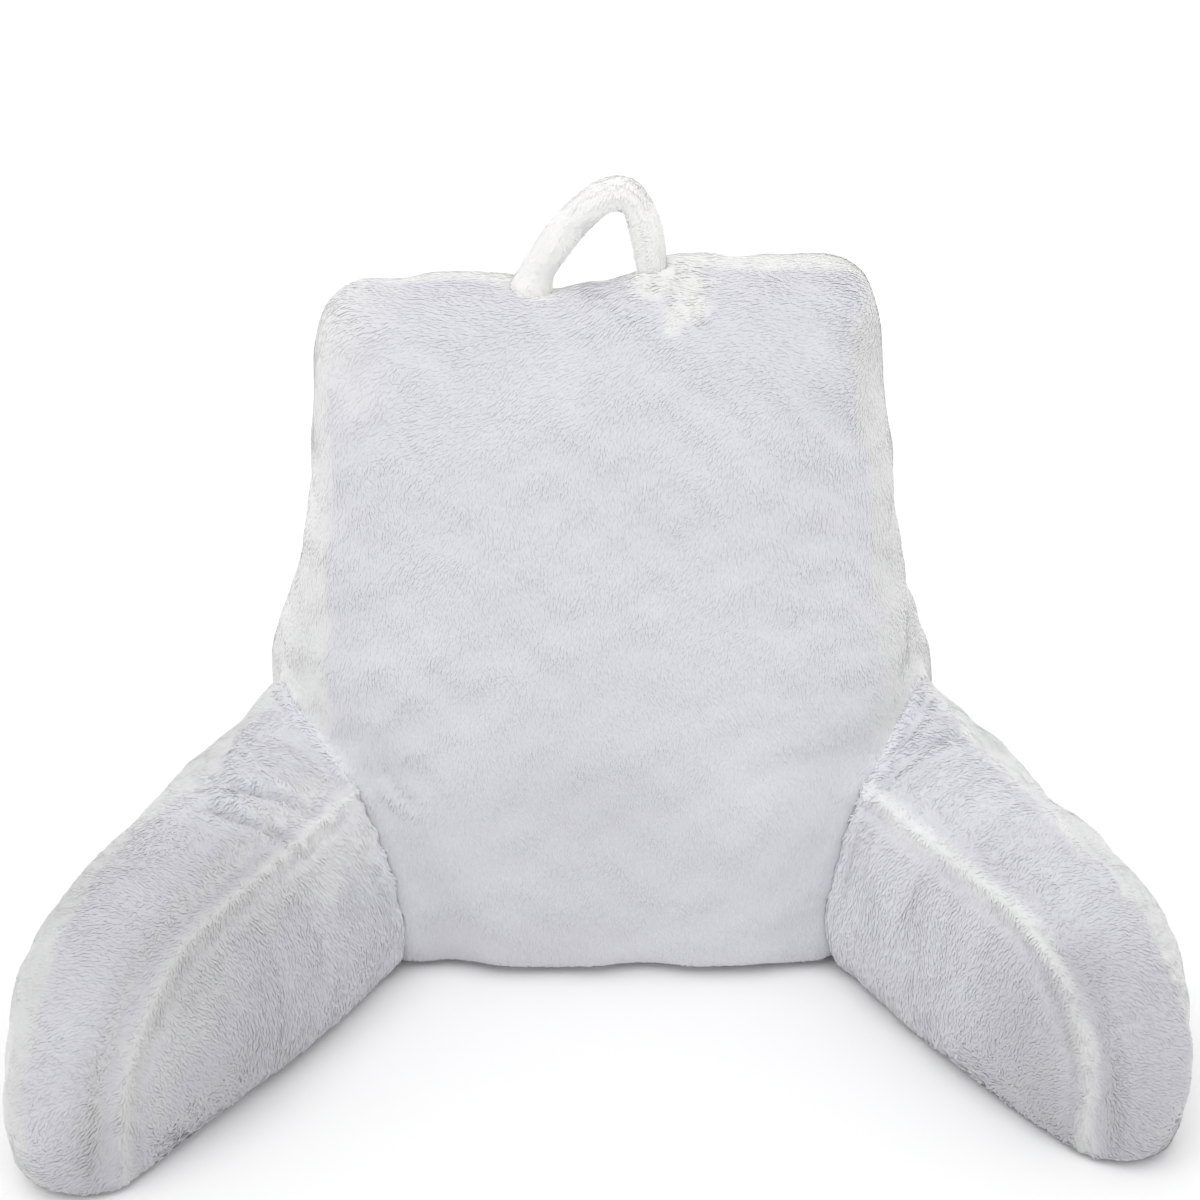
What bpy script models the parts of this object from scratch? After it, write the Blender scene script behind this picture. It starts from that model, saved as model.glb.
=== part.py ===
# Reading pillow with arms: a leaning back cushion, two boxed arms that splay forward,
# and a carrying handle on the top edge. Metres, +Z up, the sitter faces -Y.
# Every cushion is one filled solid that reaches to the tips of its pile.

import math

import bmesh
import bpy
import numpy as np

# Driving dimensions
BACK_HEIGHT = 0.505  # floor to the top seam, at the middle
BACK_HALF_WIDTH = 0.205  # near the top, middle to side seam
BACK_CORNER = 0.034  # radius of the two top corners, seen from the front
HANDLE_THICK = 0.028
GAP = 0.0004  # air between sewn pieces

# Crowns: how far a stuffed panel swells past the line of its seams
BACK_CROWN = dict(front=0.030, rear=0.022, side=0.016, top=0.014)
ARM_CROWN = dict(inner=0.026, outer=0.022, strip=0.024, tip=0.040)

# Distance from a seam over which a panel rises to its full crown
BACK_RISE = 0.13
FLOOR_RISE = 0.055

# Upright sections of the back: height, then each edge of the front and rear panels
BACK_COLUMNS = ("height", "front_left", "front_right", "rear_left", "rear_right", "front", "rear")
BACK_SECTIONS = (
    (0.000, -0.172, 0.190, -0.270, 0.270, 0.000, 0.232),
    (0.090, -0.190, 0.198, -0.286, 0.284, 0.014, 0.236),
    (0.185, -0.212, 0.212, -0.284, 0.278, 0.036, 0.238),
    (0.260, -0.221, 0.216, -0.254, 0.250, 0.056, 0.238),
    (0.340, -0.218, 0.212, -0.224, 0.228, 0.080, 0.238),
    (0.430, -0.210, 0.205, -0.210, 0.212, 0.104, 0.237),
    (0.505, -0.206, 0.200, -0.206, 0.200, 0.122, 0.234),
)

# The top seam isn't level: place across the back, and rise above BACK_HEIGHT
TOP_COLUMNS = ("across", "rise")
TOP_EDGE = (
    (-1.00, -0.004),
    (-0.85, -0.004),
    (-0.50, -0.001),
    (-0.15, -0.008),
    (0.15, 0.008),
    (0.45, 0.012),
    (0.85, 0.017),
    (1.00, 0.016),
)

# The lower front edge is scalloped: the places where it is pinched in
FOOT_PINCHES = (-0.118, 0.032)
FOOT_PINCH_WIDTH = 0.016
FOOT_PINCH_DEPTH = 0.010

# Arms in plan, from the root inside the back to the tip: both edges of the boxing strip,
# the height of each edge, and how much further in the inner panel stands at the floor
ARM_COLUMNS = (
    "along", "inner_x", "inner_y", "outer_x", "outer_y", "inner_height", "outer_height", "foot",
)
LEFT_ARM = (
    (0.00, -0.150, 0.110, -0.235, 0.170, 0.155, 0.190, 0.020),
    (0.25, -0.205, 0.000, -0.314, 0.068, 0.155, 0.180, 0.034),
    (0.50, -0.254, -0.100, -0.361, -0.030, 0.155, 0.162, 0.030),
    (0.75, -0.294, -0.190, -0.400, -0.135, 0.155, 0.150, 0.012),
    (1.00, -0.334, -0.280, -0.418, -0.250, 0.150, 0.140, 0.000),
)
RIGHT_ARM = (
    (0.00, 0.150, 0.125, 0.235, 0.175, 0.155, 0.190, 0.020),
    (0.25, 0.208, 0.020, 0.316, 0.085, 0.155, 0.184, 0.022),
    (0.50, 0.256, -0.075, 0.367, -0.010, 0.155, 0.162, 0.022),
    (0.75, 0.300, -0.160, 0.402, -0.110, 0.155, 0.150, 0.014),
    (1.00, 0.344, -0.240, 0.418, -0.215, 0.150, 0.140, 0.006),
)
ARM_ROUND_FROM = 0.70  # the strip starts to turn down here along the arm
ARM_ROUND_ABOVE = 0.35  # and is upright below this share of the height

# Centre line of the handle, in the upright plane of the top boxing
HANDLE_Y = 0.186
HANDLE_COLUMNS = ("x", "z")
HANDLE_LINE = (
    (-0.056, 0.485),
    (-0.052, 0.515),
    (-0.034, 0.546),
    (-0.012, 0.572),
    (0.009, 0.589),
    (0.028, 0.580),
    (0.036, 0.551),
    (0.040, 0.520),
    (0.042, 0.490),
)

PLUSH = dict(base=(0.68, 0.68, 0.74, 1.0), rough=0.95)
PLUSH_PALE = dict(base=(0.86, 0.86, 0.86, 1.0), rough=0.95)


def column(rows, names, name, at):
    """Reads one named column of a table at the places given, on a smooth curve."""
    places = np.array([row[0] for row in rows])
    values = np.array([row[names.index(name)] for row in rows])
    slopes = np.gradient(values, places)
    at = np.clip(at, places[0], places[-1])
    cell = np.clip(np.searchsorted(places, at, side="right") - 1, 0, len(places) - 2)
    width = places[cell + 1] - places[cell]
    t = (at - places[cell]) / width
    start = values[cell] * (1 + 2 * t) + slopes[cell] * width * t
    end = values[cell + 1] * (3 - 2 * t) + slopes[cell + 1] * width * (t - 1)
    return start * (1 - t) ** 2 + end * t ** 2


def dome(share):
    """Rise of a stuffed panel: 0 on its seam, 1 once it is well inside."""
    q = np.clip(share, 0.0, 1.0)
    return (1 - (1 - q) ** 2) ** 0.75


def turn_corner(u, v):
    """Maps a unit square's outer corner to a quarter ellipse, and leaves the rest."""
    u, v = np.maximum(u, 0), np.maximum(v, 0)
    return u * np.sqrt(1 - v ** 2 / 2), v * np.sqrt(1 - u ** 2 / 2)


def box_lattice(counts):
    """Points on the surface of a box from -1 to 1, and its outward quads."""
    index, points, quads = {}, [], []

    def vertex(cell):
        if cell not in index:
            index[cell] = len(points)
            points.append([2 * c / n - 1 for c, n in zip(cell, counts)])
        return index[cell]

    for axis in range(3):
        u, v = (axis + 1) % 3, (axis + 2) % 3
        for side in (0, counts[axis]):
            for i in range(counts[u]):
                for j in range(counts[v]):
                    ring = []
                    for du, dv in ((0, 0), (1, 0), (1, 1), (0, 1)):
                        cell = [0, 0, 0]
                        cell[axis], cell[u], cell[v] = side, i + du, j + dv
                        ring.append(vertex(tuple(cell)))
                    quads.append(ring if side else ring[::-1])
    points = np.array(points)
    return 0.6 * points + 0.4 * np.sin(points * math.pi / 2), quads


def plush(name, look):
    """The plush of one piece, as a plain Principled material."""
    material = bpy.data.materials.new(name)
    material.use_nodes = True
    shader = material.node_tree.nodes["Principled BSDF"]
    shader.inputs["Base Color"].default_value = look["base"]
    shader.inputs["Roughness"].default_value = look["rough"]
    shader.inputs["Metallic"].default_value = 0.0
    return material


def add_object(name, mesh, look):
    """Puts a mesh in the scene as one named piece."""
    piece = bpy.data.objects.new(name, mesh)
    piece.data.materials.append(plush(name + "_plush", look))
    bpy.context.scene.collection.objects.link(piece)
    return piece


def add_cushion(name, counts, shape, look):
    """Builds a filled cushion: a box lattice moved into place by its shape function."""
    points, quads = box_lattice(counts)
    mesh = bpy.data.meshes.new(name)
    mesh.from_pydata(shape(*points.T).tolist(), [], quads)
    cloth = bmesh.new()
    cloth.from_mesh(mesh)
    bmesh.ops.recalc_face_normals(cloth, faces=cloth.faces)
    bmesh.ops.triangulate(cloth, faces=cloth.faces)
    cloth.to_mesh(mesh)
    cloth.free()
    mesh.shade_smooth()
    mesh.set_sharp_from_angle(angle=math.radians(50))
    return add_object(name, mesh, look)


def back_shape(a, b, c):
    """Back cushion: a runs across, b from front to rear, c from floor to top."""
    corner_a = 1 - BACK_CORNER / BACK_HALF_WIDTH
    corner_c = 1 - BACK_CORNER / BACK_HEIGHT
    side = np.where(a < 0, -1.0, 1.0)
    across, up, depth = np.abs(a), (c + 1) / 2, (b + 1) / 2
    u = (across - corner_a) / (1 - corner_a)
    v = (up - corner_c) / (1 - corner_c)
    turned = turn_corner(u, v)
    corner = (u > 0) & (v > 0)
    u = np.where(corner, turned[0], u)
    v = np.where(corner, turned[1], v)
    across = corner_a + (1 - corner_a) * u
    level = (corner_c + (1 - corner_c) * v) * BACK_HEIGHT

    def at(edge):
        return column(BACK_SECTIONS, BACK_COLUMNS, edge, level)

    left = at("front_left") * (1 - depth) + at("rear_left") * depth
    right = at("front_right") * (1 - depth) + at("rear_right") * depth
    x = np.where(side < 0, -left, right) * across * side
    y = at("front") * (1 - depth) + at("rear") * depth
    rise = column(TOP_EDGE, TOP_COLUMNS, "rise", across * side)
    z = level + rise * (level / BACK_HEIGHT) ** 6

    u_in, v_in = np.clip(u, 0, 1), np.clip(v, 0, 1)
    from_side = (np.sqrt(1 - v_in ** 2) - u) * BACK_CORNER / BACK_RISE
    from_top = (np.sqrt(1 - u_in ** 2) - v) * BACK_CORNER / BACK_RISE
    off_floor = dome(level / FLOOR_RISE)
    swell = dome(from_side) * dome(from_top) * (0.35 + 0.65 * off_floor)
    y = y - (b <= -1) * BACK_CROWN["front"] * swell + (b >= 1) * BACK_CROWN["rear"] * swell

    outward = np.hypot(u_in, v_in) + 1e-9
    on_boxing = (np.abs(a) >= 1) | (c >= 1)
    swell = dome(1 - np.abs(b)) * on_boxing
    x = x + side * BACK_CROWN["side"] * swell * off_floor * u_in / outward
    z = z + BACK_CROWN["top"] * swell * v_in / outward

    pinch = np.minimum.reduce([np.abs(x - place) for place in FOOT_PINCHES])
    tuck = np.exp(-(pinch / FOOT_PINCH_WIDTH) ** 2 - (level / FLOOR_RISE) ** 2)
    y = y + FOOT_PINCH_DEPTH * tuck * np.clip(-b, 0, 1)
    return np.stack([x, y, z], axis=1)


def arm_shape(rows):
    """Arm cushion: a runs from inner to outer side, b from root to tip, c from floor to top."""

    def shape(a, b, c):
        along, up = (b + 1) / 2, (c + 1) / 2
        u = (along - ARM_ROUND_FROM) / (1 - ARM_ROUND_FROM)
        v = (up - ARM_ROUND_ABOVE) / (1 - ARM_ROUND_ABOVE)
        turned_u, turned_v = turn_corner(u, v)
        along = np.where(u > 0, ARM_ROUND_FROM + (1 - ARM_ROUND_FROM) * turned_u, along)
        up = np.where(v > 0, ARM_ROUND_ABOVE + (1 - ARM_ROUND_ABOVE) * turned_v, up)

        def at(name):
            return column(rows, ARM_COLUMNS, name, along)

        inner = np.stack([at("inner_x"), at("inner_y")])
        outer = np.stack([at("outer_x"), at("outer_y")])
        across = (a + 1) / 2
        cross = (outer - inner) / np.linalg.norm(outer - inner, axis=0)
        inner = inner - cross * at("foot") * (1 - up)
        plan = inner * (1 - across) + outer * across
        high = at("inner_height") * (1 - across) + at("outer_height") * across
        z = up * high

        rim = np.hypot(turned_u, turned_v)
        swell = dome(1 - rim) * dome(z / FLOOR_RISE)
        plan = plan - (a <= -1) * cross * ARM_CROWN["inner"] * swell
        plan = plan + (a >= 1) * cross * ARM_CROWN["outer"] * swell

        ahead = np.stack([cross[1], -cross[0]]) * np.sign(cross[0])
        outward = np.maximum(rim, 1e-9)
        swell = dome(1 - np.abs(a)) * ((c >= 1) | (b >= 1))
        tip = ARM_CROWN["tip"] * (0.5 + 0.5 * dome(z / FLOOR_RISE))
        plan = plan + ahead * tip * swell * turned_u / outward
        z = z + ARM_CROWN["strip"] * swell * turned_v / outward
        return np.stack([plan[0], plan[1], z], axis=1)

    return shape


def add_handle(look):
    """The handle: one stuffed tube along a smooth arch."""
    curve = bpy.data.curves.new("handle", "CURVE")
    curve.dimensions = "3D"
    curve.bevel_depth = HANDLE_THICK / 2
    curve.bevel_resolution = 3
    curve.resolution_u = 4
    curve.use_fill_caps = True
    spline = curve.splines.new("NURBS")
    spline.points.add(len(HANDLE_LINE) - 1)
    for point, row in zip(spline.points, HANDLE_LINE):
        place = dict(zip(HANDLE_COLUMNS, row))
        point.co = (place["x"], HANDLE_Y, place["z"], 1.0)
    spline.order_u = 4
    spline.use_endpoint_u = True
    path = bpy.data.objects.new("handle_path", curve)
    tube = bmesh.new()
    tube.from_mesh(bpy.data.meshes.new_from_object(path))
    bmesh.ops.remove_doubles(tube, verts=tube.verts, dist=1e-5)
    mesh = bpy.data.meshes.new("handle")
    tube.to_mesh(mesh)
    tube.free()
    bpy.data.objects.remove(path)
    mesh.shade_smooth()
    mesh.set_sharp_from_angle(angle=math.radians(50))
    return add_object("handle", mesh, look)


def trim_to(piece, back):
    """Cuts a piece back to the cushion it is sewn to, a gap's width away."""
    cutter = bpy.data.objects.get("back_clearance")
    if cutter is None:
        cutter = bpy.data.objects.new("back_clearance", back.data.copy())
        bpy.context.scene.collection.objects.link(cutter)
        cutter.hide_render = True
        cutter.display_type = "WIRE"
        shell = bmesh.new()
        shell.from_mesh(cutter.data)
        shell.normal_update()
        for vertex in shell.verts:
            vertex.co += vertex.normal * GAP
        shell.to_mesh(cutter.data)
        shell.free()
    cut = piece.modifiers.new("trim", "BOOLEAN")
    cut.operation = "DIFFERENCE"
    cut.solver = "EXACT"
    cut.object = cutter


def stand_on_origin(pieces):
    """Moves the finished pieces so that the middle of their footprint is the origin."""
    bpy.context.view_layer.update()
    corners = np.array([corner[:] for piece in pieces for corner in piece.bound_box])
    middle = (corners.min(axis=0) + corners.max(axis=0)) / 2
    for item in bpy.context.scene.objects:
        item.location = (-middle[0], -middle[1], 0.0)


def build():
    for item in list(bpy.context.scene.objects):
        bpy.data.objects.remove(item, do_unlink=True)
    back = add_cushion("back_cushion", (22, 10, 22), back_shape, PLUSH)
    pieces = [
        add_cushion("arm_left", (10, 20, 12), arm_shape(LEFT_ARM), PLUSH),
        add_cushion("arm_right", (10, 20, 12), arm_shape(RIGHT_ARM), PLUSH),
        add_handle(PLUSH_PALE),
    ]
    for piece in pieces:
        trim_to(piece, back)
    stand_on_origin([back] + pieces)


build()
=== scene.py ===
import math

import bmesh
import bpy
import numpy as np
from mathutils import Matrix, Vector
from mathutils.bvhtree import BVHTree
from mathutils.kdtree import KDTree


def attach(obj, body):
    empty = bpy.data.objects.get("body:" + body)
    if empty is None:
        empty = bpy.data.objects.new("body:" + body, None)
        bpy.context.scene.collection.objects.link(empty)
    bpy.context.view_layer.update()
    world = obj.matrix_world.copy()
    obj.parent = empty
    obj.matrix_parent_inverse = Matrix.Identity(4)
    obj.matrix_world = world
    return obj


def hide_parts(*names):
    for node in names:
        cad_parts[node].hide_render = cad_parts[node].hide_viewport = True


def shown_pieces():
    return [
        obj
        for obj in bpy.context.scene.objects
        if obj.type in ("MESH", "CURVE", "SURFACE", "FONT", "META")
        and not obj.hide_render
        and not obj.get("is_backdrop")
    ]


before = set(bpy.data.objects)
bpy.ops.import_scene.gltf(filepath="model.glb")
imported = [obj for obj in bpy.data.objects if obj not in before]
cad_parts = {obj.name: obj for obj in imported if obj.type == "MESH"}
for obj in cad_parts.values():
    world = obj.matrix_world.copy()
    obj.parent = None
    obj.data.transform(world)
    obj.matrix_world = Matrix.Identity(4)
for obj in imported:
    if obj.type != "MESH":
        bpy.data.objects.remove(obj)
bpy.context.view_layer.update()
print("frame loaded:", sorted(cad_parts))


# Camera, floor and lights

viewpoint = {
    "eye": (-0.003, -1.624, 1.113),
    "downAngle": 25.44,  # degrees below level
    "lens": 73.1,
    "sensor": 36.0,
}

studio = {
    "floorSize": 160.0,
    "floorColour": (0.93, 0.93, 0.93, 1.0),
    "skyColour": (1.0, 1.0, 1.0, 1.0),
    "skyStrength": 0.80,
    "suns": {  # name: direction the light travels, strength, softness in degrees
        "keySun": {"towards": (0.17, 0.36, -0.92), "strength": 1.06, "softness": 48.0},
        "fillSun": {"towards": (-0.38, 0.80, -0.46), "strength": 0.23, "softness": 70.0},
    },
}


def placeCamera(values):
    camera = bpy.data.objects.new("camera", bpy.data.cameras.new("camera"))
    bpy.context.scene.collection.objects.link(camera)
    camera.location = values["eye"]
    camera.rotation_euler = (math.radians(90 - values["downAngle"]), 0.0, 0.0)
    camera.data.lens = values["lens"]
    camera.data.sensor_width = values["sensor"]
    camera.data.dof.use_dof = False
    bpy.context.scene.camera = camera


def lightStudio(values):
    world = bpy.data.worlds.new("studio")
    world.use_nodes = True
    sky = world.node_tree.nodes["Background"]
    sky.inputs["Color"].default_value = values["skyColour"]
    sky.inputs["Strength"].default_value = values["skyStrength"]
    bpy.context.scene.world = world
    for name, sun in values["suns"].items():
        data = bpy.data.lights.new(name, "SUN")
        data.energy = sun["strength"]
        data.angle = math.radians(sun["softness"])
        lamp = bpy.data.objects.new(name, data)
        lamp.rotation_mode = "QUATERNION"
        lamp.rotation_quaternion = Vector(sun["towards"]).to_track_quat("-Z", "Y")
        bpy.context.scene.collection.objects.link(lamp)
    bpy.context.scene.view_settings.view_transform = "Standard"


def layFloor(values):
    half = values["floorSize"] / 2
    corners = [(-half, -half, 0), (half, -half, 0), (half, half, 0), (-half, half, 0)]
    mesh = bpy.data.meshes.new("floor")
    mesh.from_pydata(corners, [], [(0, 1, 2, 3)])
    floor = bpy.data.objects.new("floor", mesh)
    bpy.context.scene.collection.objects.link(floor)
    look = bpy.data.materials.new("floor_paper")
    look.use_nodes = True
    shader = look.node_tree.nodes["Principled BSDF"]
    shader.inputs["Base Color"].default_value = values["floorColour"]
    shader.inputs["Roughness"].default_value = 1.0
    shader.inputs["Specular IOR Level"].default_value = 0.0
    mesh.materials.append(look)
    floor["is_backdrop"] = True


# Node trees written as Python expressions

class Socket:
    # one output of a node, with the operators that maths on it needs
    def __init__(self, tree, output):
        self.tree, self.output = tree, output

    def other(self, name):  # another output of the same node
        return Socket(self.tree, self.output.node.outputs[name])

    def __add__(self, value):
        return self.tree.combine("ADD", self, value)

    def __radd__(self, value):
        return self.tree.combine("ADD", value, self)

    def __sub__(self, value):
        return self.tree.combine("SUBTRACT", self, value)

    def __rsub__(self, value):
        return self.tree.combine("SUBTRACT", value, self)

    def __mul__(self, value):
        return self.tree.combine("MULTIPLY", self, value)

    def __rmul__(self, value):
        return self.tree.combine("MULTIPLY", value, self)

    def __truediv__(self, value):
        return self.tree.combine("DIVIDE", self, value)

    def __rtruediv__(self, value):
        return self.tree.combine("DIVIDE", value, self)


class Tree:
    # a node tree, with one method that adds any node
    def __init__(self, nodeTree):
        self.nodes, self.links = nodeTree.nodes, nodeTree.links

    def add(self, kind, settings=None, inputs=None, output=0):
        node = self.nodes.new(kind)
        for name, value in (settings or {}).items():
            setattr(node, name, value)
        for name, value in (inputs or {}).items():
            self.feed(node.inputs[name], value)
        return Socket(self, node.outputs[output])

    def feed(self, target, value):
        if isinstance(value, Socket):
            self.links.new(value.output, target)
        else:
            target.default_value = value

    def isVector(self, value):
        if isinstance(value, Socket):
            return value.output.type in ("VECTOR", "RGBA")
        return isinstance(value, tuple)

    def combine(self, operation, first, second):
        if not (self.isVector(first) or self.isVector(second)):
            return self.add("ShaderNodeMath", {"operation": operation}, {0: first, 1: second})
        if operation == "MULTIPLY" and not self.isVector(second):
            return self.add("ShaderNodeVectorMath", {"operation": "SCALE"}, {0: first, "Scale": second})
        if operation == "MULTIPLY" and not self.isVector(first):
            return self.combine(operation, second, first)
        return self.add("ShaderNodeVectorMath", {"operation": operation}, {0: first, 1: second})

    def maths(self, operation, first, second=0.0):
        return self.add("ShaderNodeMath", {"operation": operation}, {0: first, 1: second})

    def unit(self, vector):
        return self.add("ShaderNodeVectorMath", {"operation": "NORMALIZE"}, {0: vector})

    def dot(self, first, second):
        settings = {"operation": "DOT_PRODUCT"}
        return self.add("ShaderNodeVectorMath", settings, {0: first, 1: second}, "Value")

    def noise(self, place, size, detail=0.0, output="Factor"):
        settings = {"noise_dimensions": "3D"}
        inputs = {"Vector": place, "Scale": 1.0 / size, "Detail": detail}
        output = 0 if output == "Factor" else 1
        return self.add("ShaderNodeTexNoise", settings, inputs, output)


class Look(Tree):
    # a Principled material
    def __init__(self, name, **constants):
        self.material = bpy.data.materials.new(name)
        self.material.use_nodes = True
        super().__init__(self.material.node_tree)
        self.shader = self.nodes["Principled BSDF"]
        for socket, value in constants.items():
            self.shader.inputs[socket.replace("_", " ")].default_value = value

    def mix(self, share, first, second, blend="MIX"):
        settings = {"data_type": "RGBA", "blend_type": blend}
        return self.add("ShaderNodeMix", settings, {0: share, 6: first, 7: second}, 2)

    def attribute(self, name, output="Fac"):
        return self.add("ShaderNodeAttribute", {"attribute_name": name}, {}, output)

    def between(self, value, low, high):  # 0 below low, 1 above high
        settings = {"interpolation_type": "SMOOTHSTEP"}
        return self.add("ShaderNodeMapRange", settings, {"Value": value, "From Min": low, "From Max": high})

    def paint(self, socket, value):
        self.feed(self.shader.inputs[socket], value)


# Smooth fields over a surface

def smoothStep(value, low, high):
    t = np.clip((value - low) / (high - low), 0.0, 1.0)
    return t * t * (3 - 2 * t)


def wander(points, size, seed):
    # smooth unevenness from about -1 to 1, that changes over the given size
    random = np.random.default_rng(seed)
    total = np.zeros(len(points))
    waves = 14
    for _ in range(waves):
        direction = random.normal(size=3)
        direction /= np.linalg.norm(direction)
        turns = 2 * math.pi / size * random.uniform(0.5, 1.3)
        total += np.sin(points @ direction * turns + random.uniform(0, 2 * math.pi))
    return total / math.sqrt(waves)


def distanceTo(samples, points):
    # distance from each point to the nearest sample, and which sample that is
    tree = KDTree(len(samples))
    for number, sample in enumerate(samples):
        tree.insert(sample, number)
    tree.balance()
    found = [tree.find(point) for point in points]
    return np.array([hit[2] for hit in found]), np.array([hit[1] for hit in found])


def sampleLine(points, step=0.003):
    # evenly spaced points along a line through the given ones
    rows = []
    for start, end in zip(points[:-1], points[1:]):
        start, end = np.array(start), np.array(end)
        count = max(2, int(np.linalg.norm(end - start) / step))
        rows.extend(start + (end - start) * t for t in np.linspace(0, 1, count, endpoint=False))
    rows.append(np.array(points[-1]))
    return np.array(rows)


def meshArrays(mesh):
    count = len(mesh.vertices)
    points, normals = np.empty(count * 3), np.empty(count * 3)
    mesh.vertices.foreach_get("co", points)
    mesh.vertices.foreach_get("normal", normals)
    return points.reshape(-1, 3), normals.reshape(-1, 3)


def setPoints(mesh, points):
    mesh.vertices.foreach_set("co", points.astype(np.float32).ravel())
    mesh.update()


def setField(mesh, name, values):
    vector = values.ndim == 2
    field = mesh.attributes.new(name, "FLOAT_VECTOR" if vector else "FLOAT", "POINT")
    field.data.foreach_set("vector" if vector else "value", values.astype(np.float32).ravel())


# Lines of the seams, from floor to floor or from root to tip

backSeams = {
    "front": [
        (-0.172, 0.022, 0.000), (-0.190, 0.036, 0.090), (-0.212, 0.058, 0.185), (-0.221, 0.078, 0.260),
        (-0.218, 0.102, 0.340), (-0.210, 0.126, 0.430), (-0.206, 0.138, 0.471), (-0.196, 0.143, 0.492),
        (-0.172, 0.144, 0.501), (-0.100, 0.144, 0.504), (-0.030, 0.144, 0.497), (0.030, 0.144, 0.513),
        (0.090, 0.144, 0.517), (0.165, 0.144, 0.522), (0.191, 0.142, 0.512), (0.201, 0.138, 0.488),
        (0.205, 0.126, 0.430), (0.212, 0.102, 0.340), (0.216, 0.078, 0.260), (0.212, 0.058, 0.185),
        (0.198, 0.036, 0.090), (0.190, 0.022, 0.000),
    ],
    "rear": [
        (-0.270, 0.254, 0.000), (-0.286, 0.258, 0.090), (-0.284, 0.260, 0.185), (-0.254, 0.260, 0.260),
        (-0.224, 0.260, 0.340), (-0.210, 0.259, 0.430), (-0.206, 0.257, 0.471), (-0.196, 0.256, 0.492),
        (-0.172, 0.256, 0.501), (-0.100, 0.256, 0.504), (-0.030, 0.256, 0.497), (0.030, 0.256, 0.513),
        (0.090, 0.256, 0.517), (0.165, 0.256, 0.522), (0.191, 0.257, 0.512), (0.201, 0.258, 0.488),
        (0.212, 0.259, 0.430), (0.228, 0.260, 0.340), (0.250, 0.260, 0.260), (0.278, 0.260, 0.185),
        (0.284, 0.258, 0.090), (0.270, 0.254, 0.000),
    ],
}

armLeftSeams = {
    "inner": [(-0.150, 0.132, 0.155), (-0.205, 0.022, 0.155), (-0.254, -0.078, 0.155),
              (-0.294, -0.168, 0.155), (-0.334, -0.258, 0.150)],
    "outer": [(-0.235, 0.192, 0.190), (-0.314, 0.090, 0.180), (-0.361, -0.008, 0.162),
              (-0.400, -0.113, 0.150), (-0.418, -0.228, 0.140)],
}

armRightSeams = {
    "inner": [(0.150, 0.147, 0.155), (0.208, 0.042, 0.155), (0.256, -0.053, 0.155),
              (0.300, -0.138, 0.155), (0.344, -0.218, 0.150)],
    "outer": [(0.235, 0.197, 0.190), (0.316, 0.107, 0.184), (0.367, 0.012, 0.162),
              (0.402, -0.088, 0.150), (0.418, -0.193, 0.140)],
}

# where the paler outer cloth of each arm starts, on the top strip
paleEdges = {
    "left": [(-0.281, 0.074, 0.193), (-0.298, 0.022, 0.186), (-0.322, -0.012, 0.180),
             (-0.355, -0.055, 0.173), (-0.369, -0.104, 0.170), (-0.379, -0.169, 0.162),
             (-0.386, -0.207, 0.146), (-0.391, -0.248, 0.117), (-0.394, -0.272, 0.076)],
    "right": [(0.262, 0.133, 0.198), (0.276, 0.100, 0.197), (0.286, 0.065, 0.194),
              (0.307, 0.024, 0.188), (0.334, -0.026, 0.180), (0.350, -0.080, 0.176),
              (0.368, -0.118, 0.170), (0.387, -0.150, 0.156), (0.401, -0.176, 0.135),
              (0.408, -0.196, 0.100)],
}

armTurn = {"from": 0.70, "above": 0.35, "points": 10}  # where the seams turn down at the tip


def turnedDown(line):
    # an arm's seam: along the top, round the tip in a quarter ellipse, and down to the floor
    places = np.array(line)
    at = np.linspace(0.0, 1.0, len(line))

    def point(along, up):
        x, y, height = [np.interp(along, at, column) for column in places.T]
        return (x, y, height * up)

    start, above = armTurn["from"], armTurn["above"]
    points = [point(along, 1.0) for along in np.linspace(0.0, start, 6, endpoint=False)]
    for turn in np.linspace(0.0, math.pi / 2, armTurn["points"]):
        points.append(point(start + (1 - start) * math.sin(turn), above + (1 - above) * math.cos(turn)))
    points.append(point(1.0, 0.0))
    return points


# The stuffed covers under the pile

cover = {
    "pileDepth": 0.0012,  # the cover's cloth lies this far under the tips
    "seamDepth": 0.0010,
    "joinDepth": 0.0006,  # where two cushions are pressed together
    "joinReach": 0.014,
    "footHeight": 0.0024,
    "snug": 0.0022,  # how far two cushions press into each other's pile along their join
    "snugAbove": 0.0035,  # and how much more where the top strip of an arm meets the back
    "snugReach": 0.011,
    "slack": 0.0035,  # the cover starts this much smaller, and the filling swells it
    "pressure": 4.0,
    "frames": 20,
}

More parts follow.
